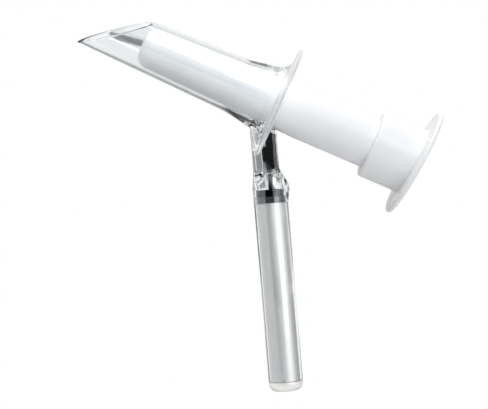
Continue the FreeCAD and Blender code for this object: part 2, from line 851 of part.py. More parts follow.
# Tail cap
SEAL_TOP = CAP_SHOULDER + d.cap_plug_length - d.seal_drop
SEAL_FLOOR = CAP_PLUG - d.seal_groove_depth


def tail_cap():
    """A domed cap whose cup turns in the barrel's foot and holds the spring."""
    body = new_body("tail_cap")
    plug_top = CAP_SHOULDER + d.cap_plug_length
    corners = [
        (0, CAP_SHOULDER - d.cap_height),
        (d.sleeve_radius, CAP_SHOULDER - d.cap_height, d.cap_edge_round),
        (d.sleeve_radius, CAP_SHOULDER),
        (CAP_PLUG, CAP_SHOULDER),
        (CAP_PLUG, plug_top),
        (CAP_CUP, plug_top),
        (CAP_CUP, CAP_SHOULDER),
        (0, CAP_SHOULDER),
    ]
    turn(body, draw(body, "profile", corners))
    outside = BARREL_BORE + d.overcut
    groove = [
        (SEAL_FLOOR, SEAL_TOP - d.seal_groove_width),
        (outside, SEAL_TOP - d.seal_groove_width),
        (outside, SEAL_TOP),
        (SEAL_FLOOR, SEAL_TOP),
    ]
    turn_out(body, draw(body, "seal_groove", groove))


def tail_seal():
    """The ring seal in the cap's groove."""
    outer = BARREL_BORE - d.seal_clearance
    seal = new_solid(
        "Part::Torus",
        "tail_seal",
        Radius1=(outer + SEAL_FLOOR) / 2,
        Radius2=(outer - SEAL_FLOOR) / 2,
    )
    place(seal, z=SEAL_TOP - d.seal_groove_width / 2)


def tail_contact():
    radius = CAP_CUP - d.fit_clearance
    disc = new_solid("Part::Cylinder", "tail_contact", Radius=radius, Height=d.contact_disc_thickness)
    place(disc, z=CAP_SHOULDER)


def tail_spring():
    """The coil that presses the cells up, wound from the tail contact to the lower cell."""
    foot = CAP_SHOULDER + d.contact_disc_thickness + d.spring_wire_radius
    rise = LOWER_CELL_FOOT - d.spring_wire_radius - foot
    helix = doc.addObject("Part::Helix", "spring_path")
    bind(helix, "Radius", d.spring_radius)
    bind(helix, "Height", rise)
    bind(helix, "Pitch", rise / d.spring_turns)
    wire = doc.addObject("Part::Circle", "spring_wire")
    bind(wire, "Radius", d.spring_wire_radius)
    wire.Placement = FreeCAD.Placement(FreeCAD.Vector(), FreeCAD.Rotation(FreeCAD.Vector(1, 0, 0), 90))
    bind(wire, "Placement.Base.x", d.spring_radius)
    spring = doc.addObject("Part::Sweep", "tail_spring")
    spring.Label = "tail_spring"
    spring.Sections = [wire]
    spring.Spine = (helix, [])
    spring.Solid = True
    spring.Frenet = True
    sub_parts.append(spring)
    place(spring, z=foot)


def check_and_write():
    """Recomputes, makes sure that every object and sub-part is sound, and writes the files."""
    doc.recompute()
    for thing in doc.Objects:
        if "Invalid" in thing.State or "Error" in thing.State:
            raise ValueError(f"{thing.Label} did not compute")
    os.makedirs("parts", exist_ok=True)
    for thing in sub_parts:
        shape = thing.Shape
        if shape.isNull() or not shape.isValid() or not shape.Solids:
            raise ValueError(f"{thing.Label} is not a sound solid")
        shape.exportStep(f"parts/{thing.Label}.step")
        print(thing.Label, len(shape.Solids), round(shape.Volume, 1))


scope_body()
handle_sleeve()
obturator_stem()
thumb_cap()
lamp_barrel()
bezel_ring()
lamp_stem()
lamp_head()
light_source()
leads()
insulating_bush()
contact_board()
positive_contact()
resistor()
cells()
tail_cap()
tail_seal()
tail_contact()
tail_spring()
check_and_write()
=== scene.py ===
"""Looks of a lighted proctoscope: clear beaked scope, white obturator and a lamp unit in the grip."""

import logging
import math
from dataclasses import dataclass
from enum import Enum
from typing import Optional, Sequence

import bmesh
import bpy
import numpy as np
from mathutils import Matrix, Vector


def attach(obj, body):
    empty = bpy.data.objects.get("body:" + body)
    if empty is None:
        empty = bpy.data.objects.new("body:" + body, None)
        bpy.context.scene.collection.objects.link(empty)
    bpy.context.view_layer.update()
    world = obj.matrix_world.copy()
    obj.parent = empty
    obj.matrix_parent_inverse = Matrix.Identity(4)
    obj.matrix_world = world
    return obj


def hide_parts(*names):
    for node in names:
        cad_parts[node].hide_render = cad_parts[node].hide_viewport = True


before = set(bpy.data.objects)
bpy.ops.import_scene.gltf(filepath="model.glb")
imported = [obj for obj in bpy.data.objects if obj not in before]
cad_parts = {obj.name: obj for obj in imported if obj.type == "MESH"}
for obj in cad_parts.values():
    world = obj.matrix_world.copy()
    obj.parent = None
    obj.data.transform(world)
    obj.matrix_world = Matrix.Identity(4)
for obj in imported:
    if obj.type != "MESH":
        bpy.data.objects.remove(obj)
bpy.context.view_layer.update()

logging.basicConfig(level=logging.INFO, format="%(message)s")
LOG = logging.getLogger("proctoscope")

MM = 0.001
AROUND = 160  # spans in one turn of a turned piece
CRISP_ANGLE = 32.0  # degrees past which a moulding's edge stays crisp

Profile = Sequence[tuple[float, ...]]
Spot = tuple[float, float, float]


class Datum(Enum):
    """The axis that a piece is turned or drawn about."""

    GRIP = "grip"
    CANNULA = "cannula"


class Cut(Enum):
    """What a solid does to the one before it."""

    JOIN = "UNION"
    REMOVE = "DIFFERENCE"


@dataclass(frozen=True)
class Layout:
    """Where the two axes stand, in millimetres and degrees, with the origin in the grip's middle."""

    cannula_drop: float = 28.0
    flange_setback: float = 8.0
    axis_height: float = 88.75

    def matrix(self, datum: Datum) -> Matrix:
        """Gives the turn and shift from a datum's own coordinates to the row's.

        Args:
            datum: GRIP has Z along the grip, CANNULA has X along the cannula towards the user.

        Returns:
            A 4 by 4 matrix in millimetres.
        """
        if datum is Datum.GRIP:
            return Matrix.Identity(4)
        turn = Matrix.Rotation(math.radians(self.cannula_drop), 4, "Y")
        return Matrix.Translation((0, 0, self.axis_height)) @ turn @ Matrix.Translation((self.flange_setback, 0, 0))


LAYOUT = Layout()


def arc_corner(before: np.ndarray, corner: np.ndarray, after: np.ndarray, radius: float, steps: int) -> np.ndarray:
    """Samples the arc that rounds a corner, tangent to both of its sides.

    The centre lies on the corner's bisector at radius / sin(half the corner's angle), and the
    arc is swept evenly between its two tangent points.

    Args:
        before: The point before the corner.
        corner: The corner itself.
        after: The point after it.
        radius: The arc's radius.
        steps: How many spans the arc has.

    Returns:
        An array of steps + 1 points.
    """
    back = (before - corner) / np.linalg.norm(before - corner)
    ahead = (after - corner) / np.linalg.norm(after - corner)
    half = 0.5 * math.acos(float(np.clip(back @ ahead, -1, 1)))
    reach = radius / math.tan(half)
    middle = (back + ahead) / np.linalg.norm(back + ahead)
    centre = corner + middle * radius / math.sin(half)
    first, last = corner + back * reach - centre, corner + ahead * reach - centre
    start = math.atan2(first[1], first[0])
    sweep = (math.atan2(last[1], last[0]) - start + math.pi) % (2 * math.pi) - math.pi
    angles = start + sweep * np.linspace(0, 1, steps + 1)
    return centre + radius * np.stack([np.cos(angles), np.sin(angles)], axis=1)


def outline(corners: Profile, closed: bool = False, steps: int = 10) -> np.ndarray:
    """Turns corners into a sampled line, rounding those that carry a radius.

    Args:
        corners: Points, each with an optional third number, the radius that rounds it.
        closed: Whether the last point leads back to the first.
        steps: Spans in each arc.

    Returns:
        An array of points, one row each.
    """
    spots = [np.array(corner[:2], float) for corner in corners]
    count = len(spots)
    runs = []
    for k, corner in enumerate(corners):
        inner = closed or 0 < k < count - 1
        if len(corner) == 3 and inner:
            runs.append(arc_corner(spots[k - 1], spots[k], spots[(k + 1) % count], corner[2], steps))
        else:
            runs.append(spots[k][None, :])
    return np.concatenate(runs)


def grid_faces(rows: int, columns: int, wrap_rows: bool, wrap_columns: bool) -> np.ndarray:
    """Gives the four corners of each cell of a grid of points.

    Args:
        rows: Points along the first parameter.
        columns: Points along the second.
        wrap_rows: Whether the last row joins the first.
        wrap_columns: Whether the last column joins the first.

    Returns:
        An array of four point numbers to a face.
    """
    i = np.arange(rows if wrap_rows else rows - 1)
    j = np.arange(columns if wrap_columns else columns - 1)
    low, left = np.meshgrid(i, j, indexing="ij")
    high, right = (low + 1) % rows, (left + 1) % columns
    cells = [low * columns + left, high * columns + left, high * columns + right, low * columns + right]
    return np.stack(cells, axis=-1).reshape(-1, 4)


@dataclass
class Skin:
    """Points and faces of a surface, in millimetres in its datum's coordinates."""

    points: np.ndarray
    faces: list[list[int]]

    def mesh(self, name: str, datum: Datum, sharp: float = 40.0) -> bpy.types.Mesh:
        """Makes a closed mesh with outward faces, placed in the row's frame in metres.

        Args:
            name: The mesh's name.
            datum: The axis that the points are measured from.
            sharp: The angle in degrees past which an edge stays crisp.

        Returns:
            The mesh, smooth but for its crisp edges.
        """
        mesh = bpy.data.meshes.new(name)
        mesh.from_pydata(self.points.tolist(), [], self.faces)
        mesh.transform(Matrix.Scale(MM, 4) @ LAYOUT.matrix(datum))
        work = bmesh.new()
        work.from_mesh(mesh)
        bmesh.ops.remove_doubles(work, verts=work.verts, dist=1e-7)
        bmesh.ops.recalc_face_normals(work, faces=work.faces)
        work.to_mesh(mesh)
        work.free()
        crisp_edges(mesh, sharp)
        return mesh


def crisp_edges(mesh: bpy.types.Mesh, angle: float) -> None:
    """Shades a mesh smooth and keeps edges crisp where its faces meet past an angle.

    Args:
        mesh: The mesh to shade.
        angle: The limit in degrees.
    """
    work = bmesh.new()
    work.from_mesh(mesh)
    limit = math.radians(angle)
    for edge in work.edges:
        edge.smooth = len(edge.link_faces) == 2 and edge.calc_face_angle(0.0) < limit
    for face in work.faces:
        face.smooth = True
    work.to_mesh(mesh)
    work.free()


def lathe(profile: np.ndarray, datum: Datum, closed: bool = False, around: int = AROUND) -> Skin:
    """Turns a profile of (station, radius) points once round its datum's axis.

    A point (s, r) at angle a stands at (s, r cos a, r sin a) about the cannula's axis, and at
    (r cos a, r sin a, s) about the grip's.

    Args:
        profile: The points, with radius 0 at a pole.
        datum: The axis to turn about.
        closed: Whether the profile is a ring, as for a tube.
        around: How many spans make one turn.

    Returns:
        The turned skin.
    """
    angles = np.linspace(0, 2 * math.pi, around, endpoint=False)
    station, radius = profile[:, 0][:, None], profile[:, 1][:, None]
    along = np.broadcast_to(station, (len(profile), around))
    across, up = radius * np.cos(angles), radius * np.sin(angles)
    order = [along, across, up] if datum is Datum.CANNULA else [across, up, along]
    points = np.stack(order, axis=-1).reshape(-1, 3)
    return Skin(points, grid_faces(len(profile), around, closed, True).tolist())


def prism(edge: np.ndarray, half_width: float, bevel: float = 0.0) -> Skin:
    """Carries a closed outline in the XZ plane the same way to both sides along Y.

    With a bevel, each end ring is drawn in towards the outline's middle by the bevel.

    Args:
        edge: The outline's points as (x, z).
        half_width: The reach along Y to each side.
        bevel: How far the end rings are drawn in.

    Returns:
        The closed skin.
    """
    middle = edge.mean(axis=0)
    inward = middle - edge
    inward = inward / np.linalg.norm(inward, axis=1, keepdims=True)
    drawn = edge + inward * bevel
    rings = [(drawn, -half_width), (edge, bevel - half_width), (edge, half_width - bevel), (drawn, half_width)]
    if bevel == 0.0:
        rings = [rings[0], rings[3]]
    points = np.concatenate([np.insert(ring, 1, y, axis=1) for ring, y in rings])
    count = len(edge)
    faces = grid_faces(len(rings), count, False, True).tolist()
    last = (len(rings) - 1) * count
    faces.append(list(range(count))[::-1])
    faces.append(list(range(last, last + count)))
    return Skin(points, faces)


def add_piece(name: str, mesh: bpy.types.Mesh, body: str, nodes: Sequence[str] = ()) -> bpy.types.Object:
    """Puts a mesh in the scene as a piece of the object.

    Args:
        name: The piece's name.
        mesh: Its mesh, already in place.
        body: The body it rides on.
        nodes: The nodes that it stands for.

    Returns:
        The new object.
    """
    piece = bpy.data.objects.new(name, mesh)
    bpy.context.scene.collection.objects.link(piece)
    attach(piece, body)
    if nodes:
        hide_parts(*nodes)
    LOG.info("%s: %d faces on %s", name, len(mesh.polygons), body)
    return piece


def build_up(name: str, start: bpy.types.Mesh, steps: Sequence[tuple[Cut, bpy.types.Mesh]]) -> bpy.types.Mesh:
    """Joins and cuts closed meshes one after another.

    Args:
        name: The result's name.
        start: The first solid.
        steps: What each further solid does, in order.

    Returns:
        A new mesh of the result.
    """
    scene = bpy.context.scene
    base = bpy.data.objects.new(name, start)
    scene.collection.objects.link(base)
    tools = []
    for number, (kind, mesh) in enumerate(steps):
        tool = bpy.data.objects.new(f"{name}_tool_{number}", mesh)
        scene.collection.objects.link(tool)
        modifier = base.modifiers.new(f"step_{number}", "BOOLEAN")
        modifier.operation = kind.value
        modifier.solver = "EXACT"
        modifier.object = tool
        tools.append(tool)
    depsgraph = bpy.context.evaluated_depsgraph_get()
    result = bpy.data.meshes.new_from_object(base.evaluated_get(depsgraph))
    result.name = name
    for thing in [base, *tools]:
        bpy.data.objects.remove(thing)
    return result


# Materials

ColourHex = str


def srgb(code: ColourHex) -> tuple[float, float, float, float]:
    """Turns an sRGB hex colour into Blender's linear red, green, blue and alpha.

    Args:
        code: Six hex digits after a hash.

    Returns:
        The linear colour.
    """
    parts = [int(code[k:k + 2], 16) / 255 for k in (1, 3, 5)]
    linear = [p / 12.92 if p <= 0.04045 else ((p + 0.055) / 1.055) ** 2.4 for p in parts]
    return (linear[0], linear[1], linear[2], 1.0)


def add_node(tree: bpy.types.NodeTree, kind: str, links: dict, **settings: object) -> bpy.types.Node:
    """Adds a node, sets its inputs and properties and links what feeds it.

    Args:
        tree: The node tree.
        kind: The node's type name.
        links: Input name or number to either a socket that feeds it or a value.
        **settings: Properties of the node itself.

    Returns:
        The node.
    """
    node = tree.nodes.new(kind)
    for name, value in settings.items():
        setattr(node, name, value)
    for name, value in links.items():
        if isinstance(value, bpy.types.NodeSocket):
            tree.links.new(value, node.inputs[name])
        else:
            node.inputs[name].default_value = value
    return node


@dataclass(frozen=True)
class Finish:
    """A material's surface: what it is made of and how it was made.

    Grain is the size in millimetres of the small marks that its making leaves.
    """

    name: str
    colour: ColourHex
    shade: ColourHex
    roughness: float
    spread: float = 0.06
    metallic: float = 0.0
    ior: Optional[float] = None
    transmission: float = 0.0
    scatter: float = 0.0
    scatter_depth: float = 1.0
    coat: float = 0.0
    grain: float = 0.6
    relief: float = 0.004
    stretch: tuple[float, float, float] = (1.0, 1.0, 1.0)
    patch: float = 9.0

    def material(self) -> bpy.types.Material:
        """Builds the node material: mottled colour, uneven roughness and a fine bump.

        Returns:
            The material.
        """
        made = bpy.data.materials.new(self.name)
        made.use_nodes = True
        tree = made.node_tree
        tree.nodes.clear()
        where = add_node(tree, "ShaderNodeTexCoord", {})
        drawn = add_node(tree, "ShaderNodeMapping", {"Vector": where.outputs["Object"], "Scale": self.stretch})
        patches, fine = (
            add_node(
                tree,
                "ShaderNodeTexNoise",
                {"Vector": drawn.outputs["Vector"], "Scale": 1 / (size * MM), "Detail": detail},
            )
            for size, detail in ((self.patch, 3.0), (self.grain, 2.0))
        )
        tint = add_node(
            tree,
            "ShaderNodeMix",
            {0: patches.outputs["Fac"], 6: srgb(self.shade), 7: srgb(self.colour)},
            data_type="RGBA",
        )
        rough = add_node(
            tree,
            "ShaderNodeMapRange",
            {
                "Value": fine.outputs["Fac"],
                "From Min": 0.3,
                "From Max": 0.7,
                "To Min": max(self.roughness - self.spread, 0.0),
                "To Max": self.roughness + self.spread,
            },
        )
        bump = add_node(
            tree,
            "ShaderNodeBump",
            {"Height": fine.outputs["Fac"], "Distance": self.relief * MM, "Strength": 1.0},
        )
        shader = add_node(
            tree,
            "ShaderNodeBsdfPrincipled",
            {
                "Base Color": tint.outputs[2],
                "Roughness": rough.outputs["Result"],
                "Normal": bump.outputs["Normal"],
                "Metallic": self.metallic,
                "Transmission Weight": self.transmission,
                "Subsurface Weight": self.scatter,
                "Subsurface Radius": (1.0, 1.0, 1.0),
                "Subsurface Scale": self.scatter_depth * MM,
                "Coat Weight": self.coat,
            },
        )
        if self.ior is not None:
            shader.inputs["IOR"].default_value = self.ior
        add_node(tree, "ShaderNodeOutputMaterial", {"Surface": shader.outputs["BSDF"]})
        return made


# Crystal polystyrene, injection moulded and polished: clear, sharp highlights, dark edges where it bends light.
CLEAR_POLYSTYRENE = Finish(
    "clear_moulded_polystyrene", "#F4F6F7", "#F0F3F4", roughness=0.03, spread=0.015,
    ior=1.59, transmission=1.0, grain=2.4, relief=0.006, patch=14.0,
)
# The same polystyrene where the tool is spark-eroded: the flange is satin, so it glows instead of mirroring.
SATIN_POLYSTYRENE = Finish(
    "satin_moulded_polystyrene", "#F6F7F8", "#F1F3F4", roughness=0.30, spread=0.05,
    ior=1.59, transmission=0.55, grain=0.5, relief=0.004, patch=12.0,
)
# High density polyethylene, injection moulded: waxy white that lets light sink in a little.
WHITE_POLYETHYLENE = Finish(
    "white_moulded_polyethylene", "#F4F5F7", "#EFF0F3", roughness=0.42,
    scatter=0.25, scatter_depth=0.7, grain=0.5, relief=0.004, patch=11.0,
)
# Low density polyethylene, natural: milky and waxy, so light sinks in and its thin edges stay bright.
NATURAL_POLYETHYLENE = Finish(
    "natural_moulded_polyethylene", "#F3F4F5", "#EDEFF1", roughness=0.36, spread=0.04,
    ior=1.51, scatter=0.30, scatter_depth=0.9, grain=0.6, relief=0.004, patch=10.0,
)
# Aluminium tube, drawn and satin anodised: soft bright streaks along its length.
SATIN_ALUMINIUM = Finish(
    "drawn_satin_aluminium", "#EDECEB", "#E4E3E2", roughness=0.50, spread=0.05,
    metallic=1.0, grain=0.35, relief=0.002, stretch=(1.0, 1.0, 0.03), patch=5.0,
)
# Brass, plated with black chrome and polished: near black with hard, cool highlights.
BLACK_CHROME = Finish(
    "black_chromed_brass", "#2C3233", "#22282A", roughness=0.09, spread=0.03, metallic=1.0, grain=0.5, relief=0.001,
)
# Black ABS, gloss moulded: deep black with a clear sheen.
BLACK_ABS = Finish("black_gloss_abs", "#0B0E0E", "#070909", roughness=0.22, ior=1.54, grain=0.8)
# Polycarbonate lens, polished: clear, a little cooler than the scope.
CLEAR_LENS = Finish(
    "polished_polycarbonate", "#F4F9FB", "#EEF5F8", roughness=0.02, spread=0.01,
    ior=1.585, transmission=1.0, grain=2.0, relief=0.001,
)
# Silicone cast over phosphor: matt warm yellow.
LED_SILICONE = Finish("cast_phosphor_silicone", "#F2DC7A", "#EBCF60", roughness=0.5, ior=1.41, grain=0.2)
# Glass-fibre laminate under solder resist: semi-gloss green.
BOARD_LAMINATE = Finish("solder_resist_laminate", "#1E6B3C", "#185A32", roughness=0.35, ior=1.5, grain=0.25)
# Extruded vinyl on the two leads.
RED_VINYL = Finish("red_extruded_vinyl", "#B32024", "#9C1A1E", roughness=0.45, grain=0.3)
BLACK_VINYL = Finish("black_extruded_vinyl", "#17181A", "#101112", roughness=0.45, grain=0.3)
# Nylon, moulded in its natural cream.
NATURAL_NYLON = Finish("natural_moulded_nylon", "#EDEBDD", "#E4E1D0", roughness=0.5, ior=1.53, scatter=0.15)
# Turned brass contacts.
TURNED_BRASS = Finish("turned_brass", "#D8B566", "#C9A455", roughness=0.25, metallic=1.0, grain=0.2, relief=0.002)
# Lacquer over a ceramic resistor.
LACQUERED_CERAMIC = Finish("lacquered_ceramic", "#C9B08A", "#BDA27A", roughness=0.3, grain=0.5, coat=0.4)
# Nickel-plated steel of the cells' cans.
NICKELLED_STEEL = Finish(
    "nickel_plated_steel", "#C9CACB", "#BDBFC1", roughness=0.22, metallic=1.0, grain=0.4, relief=0.002,
)
# Nitrile rubber seal.
NITRILE_RUBBER = Finish("moulded_nitrile_rubber", "#1B1B1C", "#141415", roughness=0.6, grain=0.3)
# Drawn spring wire.
SPRING_WIRE = Finish("drawn_spring_steel", "#C2C3C6", "#B4B6B9", roughness=0.28, metallic=1.0, grain=0.2)

NODE_FINISHES = {
    "lamp_stem": BLACK_ABS,
    "lamp_head": BLACK_ABS,
    "lamp_lens": CLEAR_LENS,
    "led_package": LED_SILICONE,
    "led_board": BOARD_LAMINATE,
    "lead_positive": RED_VINYL,
    "lead_negative": BLACK_VINYL,
    "insulating_bush": NATURAL_NYLON,
    "contact_board": BOARD_LAMINATE,
    "positive_contact": TURNED_BRASS,
    "resistor": LACQUERED_CERAMIC,
    "cell_upper": NICKELLED_STEEL,
    "cell_lower": NICKELLED_STEEL,
    "tail_seal": NITRILE_RUBBER,
    "tail_contact": TURNED_BRASS,
    "tail_spring": SPRING_WIRE,
}


class Workshop:
    """Keeps one material of each finish and hands it out."""

    def __init__(self) -> None:
        """Starts with no materials."""
        self.made: dict[str, bpy.types.Material] = {}

    def dress(self, piece: bpy.types.Object, *finishes: Finish) -> None:
        """Gives a piece its finishes, one material slot to each.

        Args:
            piece: The object to dress.
            *finishes: What it is made of, in the order of its faces' material numbers.
        """
        slots = piece.data.materials
        slots.clear()
        for finish in finishes:
            if finish.name not in self.made:
                self.made[finish.name] = finish.material()
            slots.append(self.made[finish.name])

    def dress_nodes(self) -> None:
        """Gives each node that keeps its own shape its finish."""
        for node, finish in NODE_FINISHES.items():
            self.dress(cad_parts[node], finish)
            LOG.info("%s: %s", node, finish.name)


@dataclass
class Grip:
    """Levels and radii that the sleeve, the socket, the lamp unit and the cap share, in millimetres."""

    sleeve_top: float = 40.25
    sleeve_radius: float = 7.75
    sleeve_bore: float = 6.7
    socket_ceiling: float = 46.75
    socket_lap: float = 3.0
    lap_wall: float = 0.5
    lap_clearance: float = 0.04
    ring_top: float = 46.45
    barrel_top: float = 40.35
    barrel_radius: float = 6.6
    barrel_bore: float = 6.15


@dataclass
class ScopeMoulding:
    """The clear moulding: beaked cannula, bell flange, neck, shoulder and socket."""

    grip: Grip
    reach: float = 95.0
    tip_radius: float = 10.5
    root_radius: float = 13.5
    wall: float = 0.8
    guide_radius: float = 11.85
    mouth_chamfer: float = 0.8
    beak_setback: float = 27.0
    lip_round: float = 0.35
    lip_setback: float = 0.85
    flange_radius: float = 26.295
    flange_thickness: float = 1.8
    rim_round: float = 0.7
    flare_setback: float = 20.0
    flare_root_radius: float = 16.5
    flare_round: float = 25.0
    bell_round: float = 7.0
    neck_front: float = 6.7
    neck_back: float = 4.9
    neck_half_width: float = 6.0
    neck_corner: float = 2.6
    neck_wall: float = 0.95
    neck_top_drop: float = 9.0
    neck_squareness: float = 5.0
    round_squareness: float = 2.0
    shoulder_drop: float = 33.0
    socket_radius: float = 7.95
    shoulder_bulge: float = 1.0
    channel_front: float = 2.8
    channel_half_width: float = 4.3
    channel_cover: float = 0.8
    channel_round: float = 0.25
    channel_bevel: float = 0.3
    channel_overlap: float = 0.5
    saddle_length: float = 16.0
    bore_relief: float = 0.35
    dome_radius: float = 6.0
    dome_height: float = 8.0
    dome_round: float = 4.6
    satin_radius: float = 18.0

    @property
    def taper(self) -> float:
        """How much the cannula's radius grows per millimetre towards the user."""
        return (self.root_radius - self.tip_radius) / (self.reach - self.flange_thickness / 2)

    @property
    def guide_start(self) -> float:
        """The station where the tapered bore meets its straight guide length."""
        return (self.guide_radius - self.tip_radius + self.wall) / self.taper - self.reach

    @property
    def slope(self) -> float:
        """The rise of the beak's oblique plane per millimetre along the cannula."""
        return 2 * self.tip_radius / self.beak_setback

    @property
    def saddle(self) -> float:
        """The radius that clears the obturator behind the flange."""
        return self.guide_radius + self.mouth_chamfer

    def beak_station(self, radius_at_tip: float, angles: np.ndarray) -> np.ndarray:
        """Finds where each line of a cone runs out at the oblique plane.

        On the cone r = r0 + t d, with d the distance from the tip, a line at angle a stands at
        height r sin a. The plane's height is slope d less the tip radius, so
        d = (tip + r0 sin a) / (slope - t sin a).

        Args:
            radius_at_tip: The cone's radius at the tip, r0.
            angles: The lines' angles about the axis.

        Returns:
            The station of each line's end.
        """
        lift = np.sin(angles)
        distance = (self.tip_radius + radius_at_tip * lift) / (self.slope - self.taper * lift)
        return distance - self.reach

    def shell(self) -> Skin:
        """Makes the cannula and its bell as one closed ring of profile, ended at the beak.

        The profile is a ring of (station, radius) points: out along the cone, up the bell, round
        the rim, down the flange's back and home along the bore. Each line of the two cones is
        stretched evenly from its own end at the oblique plane to its fixed end, and a half round
        closes the lip.

        Returns:
            The closed skin.
        """
        angles = np.linspace(0, 2 * math.pi, AROUND, endpoint=False)
        front, back = -self.flange_thickness / 2, self.flange_thickness / 2
        flare, before = -self.flare_setback, -2 * self.flare_setback
        body = outline([
            (before, self.tip_radius + self.taper * (self.reach + before)),
            (flare, self.tip_radius + self.taper * (self.reach + flare), self.flare_round),
            (front, self.flare_root_radius, self.bell_round),
            (front, self.flange_radius, self.rim_round),
            (back, self.flange_radius, self.rim_round),
            (back, self.saddle),
            (back - self.mouth_chamfer, self.guide_radius),
            (self.guide_start, self.guide_radius),
        ], steps=14)
        share = np.linspace(0, 1, 48, endpoint=False)[:, None]
        outer_end = self.beak_station(self.tip_radius, angles) + self.lip_setback
        inner_end = self.beak_station(self.tip_radius - self.wall, angles) + self.lip_setback
        outer = outer_end + (body[0, 0] - outer_end) * share
        inner = body[-1, 0] + (inner_end - body[-1, 0]) * (share + share[1])
        outer_radius = self.tip_radius + self.taper * (outer + self.reach)
        inner_radius = self.tip_radius - self.wall + self.taper * (inner + self.reach)
        turn = np.linspace(0, math.pi, 9)[1:-1, None]
        lip_middle = (outer[0] + inner[-1]) / 2
        lip_radius = (outer_radius[0] + inner_radius[-1]) / 2
        along = (inner[-1] - outer[0]) / 2
        across = (outer_radius[0] - inner_radius[-1]) / 2
        lip = lip_middle + along * np.cos(turn) - self.lip_round * np.sin(turn)
        lip_height = lip_radius - across * np.cos(turn)
        fixed = np.broadcast_to(body[:, :1], (len(body), AROUND))
        fixed_radius = np.broadcast_to(body[:, 1:], (len(body), AROUND))
        station = np.concatenate([outer, fixed, inner, lip])
        radius = np.concatenate([outer_radius, fixed_radius, inner_radius, lip_height])
        points = np.stack([station, radius * np.cos(angles), radius * np.sin(angles)], axis=-1)
        return Skin(points.reshape(-1, 3), grid_faces(len(station), AROUND, True, True).tolist())

    def neck(self) -> Skin:
        """Lofts the neck from a rounded box under the flange down to the round socket mouth.

        A section at drop v is the rounded box |x / a|^p + |y / b|^p = 1, with p falling from the
        neck's squareness to 2, a circle. Its front grows evenly, and its back and sides grow as
        the mean of the sine of the share of the shoulder passed and that sine squared. Past the
        ceiling the back's bulge dies away. Points run evenly by angle along the outline.

        Returns:
            The closed skin, solid inside.
        """
        grip = self.grip
        ceiling_drop = LAYOUT.axis_height - grip.socket_ceiling
        mouth_drop = LAYOUT.axis_height - grip.sleeve_top
        drops = np.concatenate([
            np.linspace(self.neck_top_drop, self.shoulder_drop, 12, endpoint=False),
            np.linspace(self.shoulder_drop, ceiling_drop, 28, endpoint=False),
            np.linspace(ceiling_drop, mouth_drop, 12),
        ])[:, None]
        share = np.clip((drops - self.shoulder_drop) / (ceiling_drop - self.shoulder_drop), 0, 1)
        rise = np.sin(share * math.pi / 2)
        swell = (rise ** 2 + rise) / 2
        settle = np.clip((drops - ceiling_drop) / (mouth_drop - ceiling_drop), 0, 1)
        bulge = self.shoulder_bulge * swell * (1 - settle * settle * (3 - 2 * settle))
        front = self.neck_front + (self.socket_radius - self.neck_front) * share
        back = self.neck_back + (self.socket_radius - self.neck_back) * swell + bulge
        half = self.neck_half_width + (self.socket_radius - self.neck_half_width) * swell
        power = self.neck_squareness + (self.round_squareness - self.neck_squareness) * rise
        angles = np.linspace(0, 2 * math.pi, AROUND, endpoint=False)
        cosine, sine = np.cos(angles), np.sin(angles)
        reach = (np.abs(cosine) ** power + np.abs(sine) ** power) ** (-1 / power)
        middle, width = (back - front) / 2, (back + front) / 2
        x = middle + width * reach * cosine
        y = half * reach * sine
        z = np.broadcast_to(LAYOUT.axis_height - drops, x.shape)
        points = np.stack([x, y, z], axis=-1).reshape(-1, 3)
        faces = grid_faces(len(drops), AROUND, False, True).tolist()
        last = (len(drops) - 1) * AROUND
        faces.append(list(range(AROUND))[::-1])
        faces.append(list(range(last, last + AROUND)))
        return Skin(points, faces)

    def lamp_space(self) -> Skin:
        """Makes the hollow behind the flange that the lamp head and its stalk fill.

        Its side outline is the flange's back, the cover under the saddle, the neck's back wall,
        the socket's ceiling and the neck's front wall.

        Returns:
            The closed skin to cut away.
        """
        drop = math.radians(LAYOUT.cannula_drop)
        station = self.flange_thickness / 2
        ceiling = self.saddle + self.channel_cover
        back = self.neck_back - self.neck_wall
        front = -self.channel_front
        run = (back + ceiling * math.sin(drop)) / math.cos(drop)
        first = LAYOUT.flange_setback + station
        reach = (first * math.cos(drop) - front) / math.sin(drop)
        floor = self.grip.socket_ceiling - self.channel_overlap

        def spot(along: float, down: float) -> Spot:
            """Turns a run along the cannula and a depth below it into x, z and the corner's round."""
            x = along * math.cos(drop) - down * math.sin(drop)
            z = LAYOUT.axis_height - along * math.sin(drop) - down * math.cos(drop)
            return x, z, self.channel_round

        corners = [spot(first, ceiling), spot(run, ceiling), (back, floor), (front, floor), spot(first, reach)]
        return prism(outline(corners, closed=True, steps=4), self.channel_half_width, self.channel_bevel)

    def socket_space(self) -> np.ndarray:
        """Gives the profile of the socket's bore, with its wider lap below and its dome above.

        Returns:
            The profile, about the grip's axis.
        """
        grip = self.grip
        dome_top = grip.socket_ceiling + self.dome_height
        lap = grip.sleeve_bore + grip.lap_wall + grip.lap_clearance
        level = grip.sleeve_top + grip.socket_lap
        return outline([
            (grip.sleeve_top - 1, 0), (grip.sleeve_top - 1, lap), (level, lap),
            (level, grip.sleeve_bore), (grip.socket_ceiling, grip.sleeve_bore),
            (grip.socket_ceiling, self.dome_radius), (dome_top, self.dome_radius, self.dome_round), (dome_top, 0),
        ])

    def bore_space(self) -> np.ndarray:
        """Gives the profile that keeps the neck out of the bore and off the obturator.

        Returns:
            The profile, about the cannula's axis.
        """
        back = self.flange_thickness / 2
        inside = self.guide_radius + self.bore_relief
        return outline([
            (-self.reach / 2, 0), (-self.reach / 2, inside), (back - 0.5, inside), (back - 0.2, self.saddle),
            (back + self.saddle_length, self.saddle), (back + self.saddle_length, 0),
        ])

